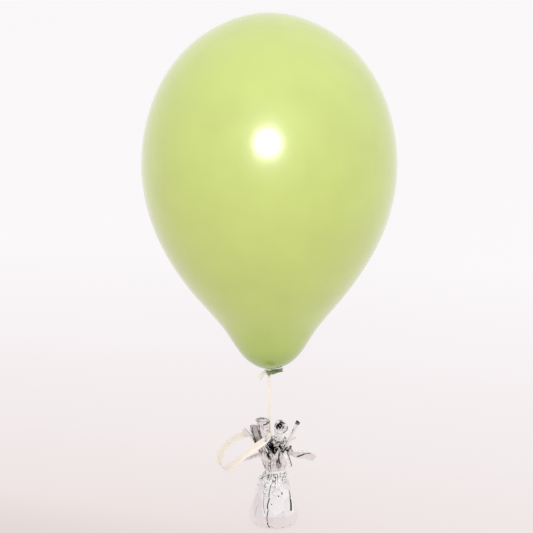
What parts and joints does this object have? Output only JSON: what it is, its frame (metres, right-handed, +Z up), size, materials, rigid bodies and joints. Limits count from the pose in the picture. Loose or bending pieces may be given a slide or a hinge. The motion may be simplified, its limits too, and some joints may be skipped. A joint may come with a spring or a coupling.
{
  "type": "latex balloon",
  "caption": "Teardrop-shaped latex party balloon held by a flat curling ribbon to a foil-wrapped tabletop weight with a fringe of curled foil strips and a loose coil of spare ribbon.",
  "frame": {"origin": "centre of the weight's resting face", "axes": "+Z up, from the weight to the balloon; -Y is the front, and the spare ribbon hangs towards -X"},
  "size_m": [0.281, 0.281, 0.5759],
  "materials": {
    "latex": "pearl, satin to gloss",
    "ribbon": "satin",
    "foil": "mirror-bright, crinkled",
    "tie": "bright twisted foil",
    "hook_wire": "bright wire",
    "cup_plastic": "matte",
    "plaster": "matte",
    "card": "matte"
  },
  "bodies": {
    "weight": {"base_disc": "card", "foil_collar": "foil", "foil_wrap": "foil", "fringe_strip_01": "foil", "fringe_strip_02": "foil", "fringe_strip_03": "foil", "fringe_strip_04": "foil", "fringe_strip_05": "foil", "fringe_strip_06": "foil", "fringe_strip_07": "foil", "fringe_strip_08": "foil", "fringe_strip_09": "foil", "fringe_strip_10": "foil", "fringe_strip_11": "foil", "fringe_strip_12": "foil", "fringe_strip_13": "foil", "neck_tie": "tie", "ribbon_hook": "hook_wire", "ribbon_ring": "ribbon", "weight_cup": "cup_plastic", "weight_fill": "plaster"},
    "ribbon_loop": {"ribbon_lower_loop": "ribbon", "ribbon_lower_knot": "ribbon"},
    "ribbon": {"ribbon_line": "ribbon"},
    "neck_swivel": {"ribbon_upper_knot": "ribbon", "ribbon_tag_end": "ribbon", "ribbon_upper": "ribbon"},
    "balloon": {"balloon_envelope": "latex", "balloon_neck": "latex", "neck_knot": "latex", "neck_tail": "latex", "rolled_lip": "latex", "ribbon_neck_loop": "ribbon"}
  },
  "joints": [
    {"name": "sway_front", "type": "hinge", "parent": "weight", "child": "ribbon_loop", "pos_m": [-0.0058, 0, 0.1021], "axis": [1, 0, 0], "range_deg": [-15, 15], "stiffness_Nm_per_rad": 2},
    {"name": "sway_side", "type": "hinge", "parent": "ribbon_loop", "child": "ribbon", "pos_m": [-0.0058, 0, 0.108], "axis": [0, 1, 0], "range_deg": [-15, 15], "stiffness_Nm_per_rad": 2},
    {"name": "balloon_spin", "type": "hinge", "parent": "ribbon", "child": "neck_swivel", "pos_m": [-0.0058, 0, 0.167], "axis": [0, 0, 1], "continuous": true},
    {"name": "balloon_tilt", "type": "hinge", "parent": "neck_swivel", "child": "balloon", "pos_m": [-0.0058, -0.0044, 0.1812], "axis": [0, 1, 0], "range_deg": [-15, 15], "stiffness_Nm_per_rad": 1.5}
  ]
}
